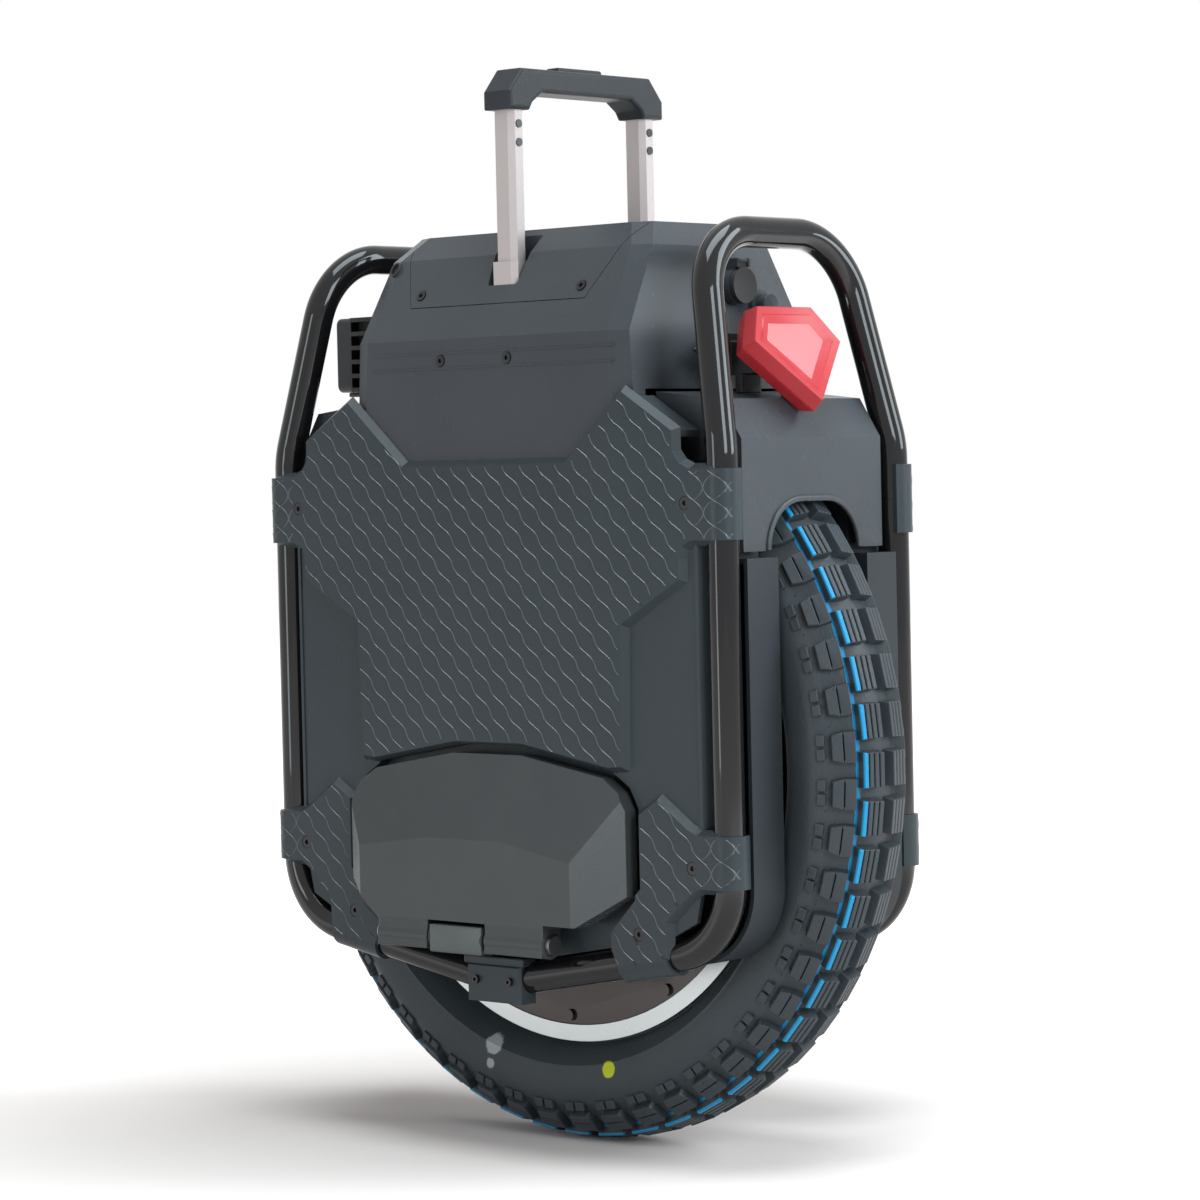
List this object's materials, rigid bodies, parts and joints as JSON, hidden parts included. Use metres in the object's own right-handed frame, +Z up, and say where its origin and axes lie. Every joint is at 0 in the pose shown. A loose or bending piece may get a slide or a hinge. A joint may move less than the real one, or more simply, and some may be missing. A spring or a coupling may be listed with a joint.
{
  "type": "electric unicycle",
  "caption": "Electric unicycle with a knobbly hub-motor wheel, a tubular cage, fold-up pedals, a pull-up trolley handle, a headlight and a gem-shaped tail lamp.",
  "frame": {"origin": "on the ground, under the middle of the wheel", "axes": "+X forward, +Y the rider's left, +Z up; the axle is along Y"},
  "size_m": [0.508, 0.3296, 0.707],
  "materials": {
    "tyre_rubber": "moulded rubber, matt",
    "tube_rubber": "soft rubber",
    "tread_rubber": "gritty rubber",
    "rim_alloy": "bright turned edge",
    "motor_paint": "gloss black paint",
    "steel": "dark zinc",
    "alloy": "plain",
    "copper": "enamelled wire",
    "forging_paint": "black powder coat",
    "pedal_paint": "black powder coat",
    "cage_paint": "gloss black paint",
    "panel_plastic": "charcoal, fine moulded texture",
    "casing_plastic": "charcoal satin",
    "shell_plastic": "black satin",
    "grip_plastic": "black, soft grain",
    "handle_alloy": "champagne anodised",
    "battery_wrap": "shrink wrap",
    "board_resin": "solder mask",
    "lamp_red": "clear red",
    "lamp_glass": "clear"
  },
  "bodies": {
    "chassis": {"axle": "steel", "axle_nuts": "steel", "bar_clips": "panel_plastic", "battery_packs_left": "battery_wrap", "battery_packs_right": "battery_wrap", "casing_screws": "steel", "charge_socket": "casing_plastic", "control_board": "board_resin", "deck_plate": "alloy", "fender_front": "casing_plastic", "fender_rear": "casing_plastic", "front_hoop": "cage_paint", "handle_sleeve_left": "alloy", "handle_sleeve_right": "alloy", "hanger_bolts": "steel", "headlight_bracket": "forging_paint", "headlight_housing": "forging_paint", "headlight_lens": "lamp_glass", "heat_sink": "alloy", "inner_shell_left": "shell_plastic", "inner_shell_right": "shell_plastic", "lower_bar_left": "cage_paint", "lower_bar_right": "cage_paint", "panel_screws": "steel", "pedal_hanger_left": "forging_paint", "pedal_hanger_right": "forging_paint", "pedal_pins": "steel", "rear_hoop": "cage_paint", "side_panel_left": "panel_plastic", "side_panel_right": "panel_plastic", "stator_core": "steel", "stator_spider": "alloy", "stator_windings": "copper", "tail_lamp_board": "board_resin", "tail_lamp_bracket": "forging_paint", "tail_lamp_case": "lamp_red", "tail_lamp_lead": "tube_rubber", "tail_lamp_lens": "lamp_red", "top_casing": "casing_plastic", "top_lid": "casing_plastic"},
    "wheel": {"tyre": "tyre_rubber", "inner_tube": "tube_rubber", "wheel_rim": "rim_alloy", "magnet_ring": "steel", "motor_cover_left": "motor_paint", "motor_cover_right": "motor_paint", "motor_cover_screws": "steel", "bearing_left": "steel", "bearing_right": "steel"},
    "left_pedal": {"pedal_left": "pedal_paint", "pedal_tread_left": "tread_rubber"},
    "right_pedal": {"pedal_right": "pedal_paint", "pedal_tread_right": "tread_rubber"},
    "trolley": {"handle_tube_left": "handle_alloy", "handle_tube_right": "handle_alloy", "handle_grip": "grip_plastic", "grip_rivets": "steel"},
    "release": {"release_button": "grip_plastic"},
    "power": {"power_button": "casing_plastic"},
    "port_cap": {"charge_cap": "tube_rubber"}
  },
  "joints": [
    {"name": "wheel_spin", "type": "hinge", "parent": "chassis", "child": "wheel", "pos_m": [0, 0, 0.254], "axis": [0, 1, 0], "continuous": true},
    {"name": "left_pedal_fold", "type": "hinge", "parent": "chassis", "child": "left_pedal", "pos_m": [0, 0.1015, 0.141], "axis": [-1, 0, 0], "range_deg": [0, 80]},
    {"name": "right_pedal_fold", "type": "hinge", "parent": "chassis", "child": "right_pedal", "pos_m": [0, -0.1015, 0.141], "axis": [-1, 0, 0], "range_deg": [0, 80]},
    {"name": "trolley_slide", "type": "slide", "parent": "chassis", "child": "trolley", "axis": [0, 0, 1], "range_m": [-0.073, 0.15]},
    {"name": "release_press", "type": "slide", "parent": "trolley", "child": "release", "axis": [0, 0, -1], "range_m": [0, 0.003], "stiffness_N_per_m": 500, "springref_m": -0.001},
    {"name": "power_press", "type": "slide", "parent": "chassis", "child": "power", "axis": [1, 0, 0], "range_m": [0, 0.002], "stiffness_N_per_m": 800, "springref_m": -0.0005},
    {"name": "port_cap_hinge", "type": "hinge", "parent": "chassis", "child": "port_cap", "pos_m": [-0.1278, -0.017, 0.575], "axis": [0, 1, 0], "range_deg": [0, 95]}
  ]
}
